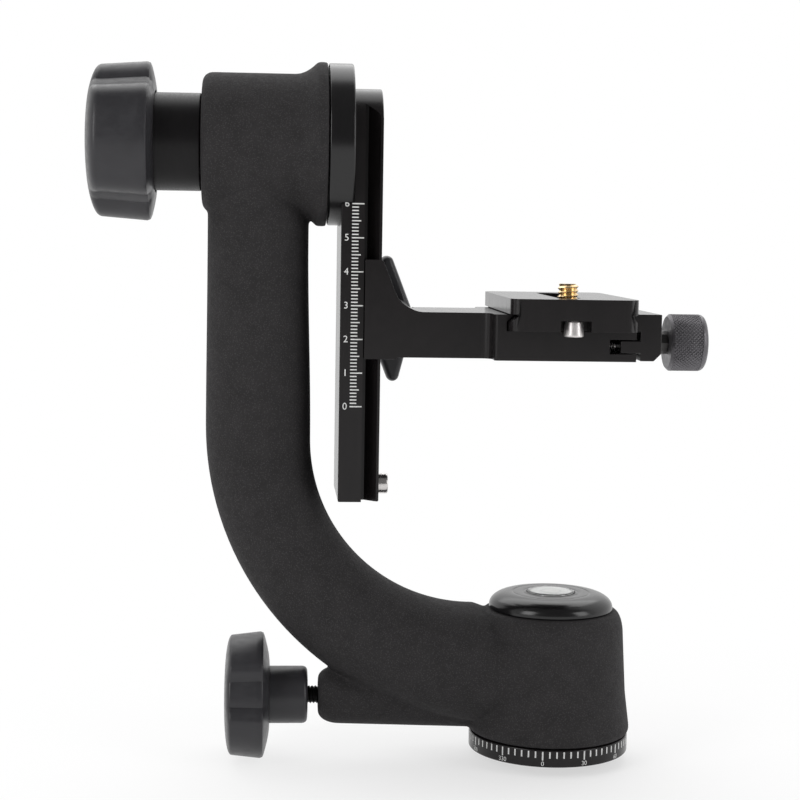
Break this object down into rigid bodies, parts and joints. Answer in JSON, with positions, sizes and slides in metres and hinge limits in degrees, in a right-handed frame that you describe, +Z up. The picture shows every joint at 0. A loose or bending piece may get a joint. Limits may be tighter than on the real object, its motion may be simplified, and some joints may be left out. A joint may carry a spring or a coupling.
{
  "type": "gimbal head",
  "caption": "Side-arm gimbal head for long lenses: curved arm on a panning base, tilting dovetail bar, height-adjustable cradle with a clamp and plate.",
  "frame": {"origin": "centre of the base ring's underside, on the pan axis", "axes": "+Z up along the pan axis, +X from the arm to the camera clamp's knob, -Y towards the viewer"},
  "size_m": [0.1909, 0.07, 0.2154],
  "materials": {
    "arm": "crinkle textured black paint",
    "anodised": "satin black anodised",
    "gloss": "gloss black",
    "knob": "satin black plastic",
    "knurled": "knurled, dark grey anodised",
    "steel": "machined",
    "brass": "turned",
    "acrylic": "clear green",
    "washer": "smooth white"
  },
  "bodies": {
    "base": {"pan_base": "anodised", "tripod_bush": "brass", "pan_spindle": "steel", "pan_bearing_lower": "steel", "pan_bearing_upper": "steel", "pan_nut": "steel"},
    "arm": {"swing_arm": "arm", "pan_friction_washer": "washer", "level_cap": "gloss", "bubble_level": "acrylic", "tilt_bearing_outer": "steel", "tilt_bearing_inner": "steel", "tilt_sleeve": "anodised"},
    "pan_shoe": {"pan_lock_shoe": "brass"},
    "pan_lock": {"pan_lock_knob": "knob", "pan_lock_stud": "steel"},
    "tilt_head": {"tilt_shaft": "steel", "tilt_disc": "gloss", "slide_bar": "anodised", "bar_screw_1": "steel", "bar_screw_2": "steel", "bar_screw_3": "steel", "bar_screw_4": "steel", "bar_stop_screw": "steel"},
    "tilt_washer": {"tilt_friction_washer": "washer"},
    "tilt_lock": {"tilt_lock_knob": "knob", "tilt_insert": "brass"},
    "cradle": {"cradle_bracket": "arm", "clamp_pin_front": "steel", "clamp_pin_rear": "steel", "clamp_spring_front": "steel", "clamp_spring_rear": "steel"},
    "height_jaw": {"height_clamp_jaw": "arm"},
    "height_lock": {"height_lock_knob": "knob", "height_lock_stud": "steel"},
    "clamp_jaw_body": {"clamp_jaw": "arm"},
    "clamp_lock": {"clamp_knob": "knurled", "clamp_screw": "steel"},
    "plate": {"camera_plate": "anodised", "plate_stop_front": "steel", "plate_stop_rear": "steel"},
    "screw_carrier": {"camera_screw_washer": "steel"},
    "screw": {"camera_screw": "brass"}
  },
  "joints": [
    {"name": "pan", "type": "hinge", "parent": "base", "child": "arm", "pos_m": [0, 0, 0], "axis": [0, 0, 1], "continuous": true},
    {"name": "pan_shoe_slide", "type": "slide", "parent": "arm", "child": "pan_shoe", "axis": [-1, 0, 0], "range_m": [0, 0.001]},
    {"name": "pan_lock_turn", "type": "hinge", "parent": "pan_shoe", "child": "pan_lock", "pos_m": [-0.0763, 0, 0.0166], "axis": [-1, 0, 0], "range_deg": [0, 360]},
    {"name": "tilt", "type": "hinge", "parent": "arm", "child": "tilt_head", "pos_m": [-0.0723, 0, 0.1876], "axis": [1, 0, 0], "continuous": true},
    {"name": "tilt_washer_slide", "type": "slide", "parent": "tilt_head", "child": "tilt_washer", "axis": [-1, 0, 0], "range_m": [0, 0.00126]},
    {"name": "tilt_lock_turn", "type": "hinge", "parent": "tilt_washer", "child": "tilt_lock", "pos_m": [-0.1246, 0, 0.1876], "axis": [-1, 0, 0], "range_deg": [0, 360]},
    {"name": "cradle_height", "type": "slide", "parent": "tilt_head", "child": "cradle", "axis": [0, 0, 1], "range_m": [-0.036, 0.042]},
    {"name": "height_jaw_slide", "type": "slide", "parent": "cradle", "child": "height_jaw", "axis": [0, 1, 0], "range_m": [0, 0.001]},
    {"name": "height_lock_turn", "type": "hinge", "parent": "height_jaw", "child": "height_lock", "pos_m": [-0.0504, 0.0183, 0.1335], "axis": [0, 1, 0], "range_deg": [0, 360]},
    {"name": "clamp_jaw_slide", "type": "slide", "parent": "cradle", "child": "clamp_jaw_body", "axis": [1, 0, 0], "range_m": [0, 0.004]},
    {"name": "clamp_knob_turn", "type": "hinge", "parent": "clamp_jaw_body", "child": "clamp_lock", "pos_m": [0.0271, 0, 0.12845], "axis": [1, 0, 0], "range_deg": [0, 1440]},
    {"name": "plate_slide", "type": "slide", "parent": "cradle", "child": "plate", "axis": [0, 1, 0], "range_m": [-0.0006, 0.0006]},
    {"name": "camera_screw_slide", "type": "slide", "parent": "plate", "child": "screw_carrier", "axis": [0, 1, 0], "range_m": [-0.002, 0.04]},
    {"name": "camera_screw_turn", "type": "hinge", "parent": "screw_carrier", "child": "screw", "pos_m": [0, -0.019, 0.1331], "axis": [0, 0, 1], "continuous": true}
  ],
  "couplings": [
    {"joint": "pan_lock_turn", "follows": "pan_shoe_slide", "rad_per_m": 6283},
    {"joint": "tilt_lock_turn", "follows": "tilt_washer_slide", "rad_per_m": 4986},
    {"joint": "height_lock_turn", "follows": "height_jaw_slide", "rad_per_m": 6283},
    {"joint": "clamp_knob_turn", "follows": "clamp_jaw_slide", "rad_per_m": 6283}
  ]
}
